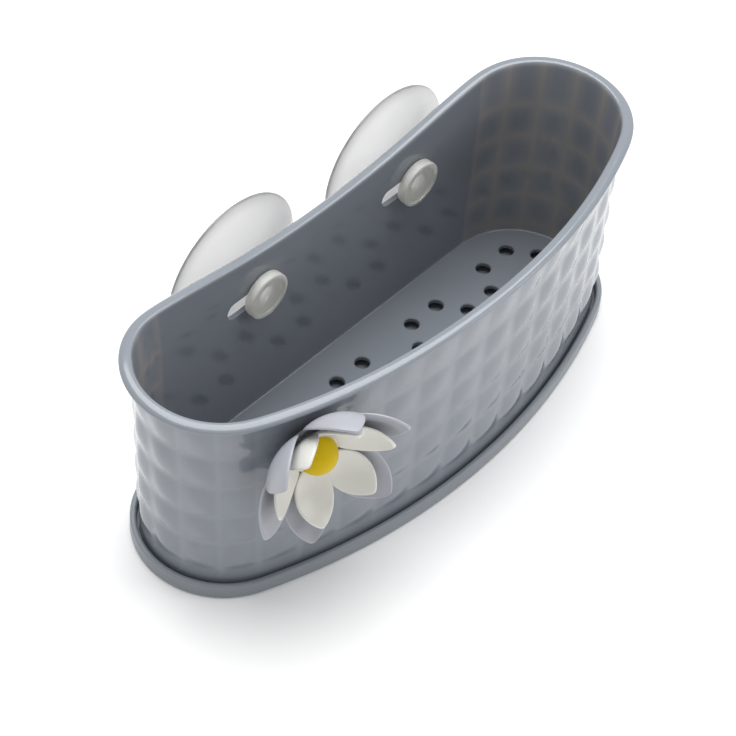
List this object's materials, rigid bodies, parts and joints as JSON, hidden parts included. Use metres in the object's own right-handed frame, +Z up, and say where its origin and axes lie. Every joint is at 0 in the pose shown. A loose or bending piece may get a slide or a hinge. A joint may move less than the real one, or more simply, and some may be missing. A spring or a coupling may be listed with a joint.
{
  "type": "kitchen sink caddy",
  "caption": "D-shaped plastic sink caddy with a drained floor, a lift-off drip tray, suction cups on its straight back and a flower on its bowed front.",
  "frame": {"origin": "middle of the drip tray's underside", "axes": "+Z up, +X along the straight back wall, +Y to the back, where the suction cups are"},
  "size_m": [0.225, 0.0998, 0.0914],
  "materials": {
    "grey_plastic": "smooth moulded, soft gloss",
    "grey_petal_plastic": "smooth moulded, soft gloss",
    "white_plastic": "smooth moulded",
    "yellow_plastic": "smooth moulded",
    "clear_vinyl": "clear soft vinyl, glossy"
  },
  "bodies": {
    "drip_tray": {"drip_tray": "grey_plastic"},
    "basket": {"basket": "grey_plastic"},
    "suction_cup_left": {"suction_cup_left": "clear_vinyl"},
    "suction_cup_right": {"suction_cup_right": "clear_vinyl"},
    "flower": {"flower_outer_petals": "grey_petal_plastic", "flower_inner_petals": "white_plastic", "flower_centre": "yellow_plastic"}
  },
  "joints": [
    {"name": "basket_lift", "type": "slide", "parent": "drip_tray", "child": "basket", "axis": [0, 0, 1], "range_m": [0, 0.03]},
    {"name": "suction_cup_left_slide", "type": "slide", "parent": "basket", "child": "suction_cup_left", "axis": [-1, 0, 0], "range_m": [0, 0.0125]},
    {"name": "suction_cup_right_slide", "type": "slide", "parent": "basket", "child": "suction_cup_right", "axis": [-1, 0, 0], "range_m": [0, 0.0125]},
    {"name": "flower_turn", "type": "hinge", "parent": "basket", "child": "flower", "pos_m": [-0.0731, -0.02463, 0.0652], "axis": [-0.309, -0.9511, 0], "continuous": true}
  ]
}
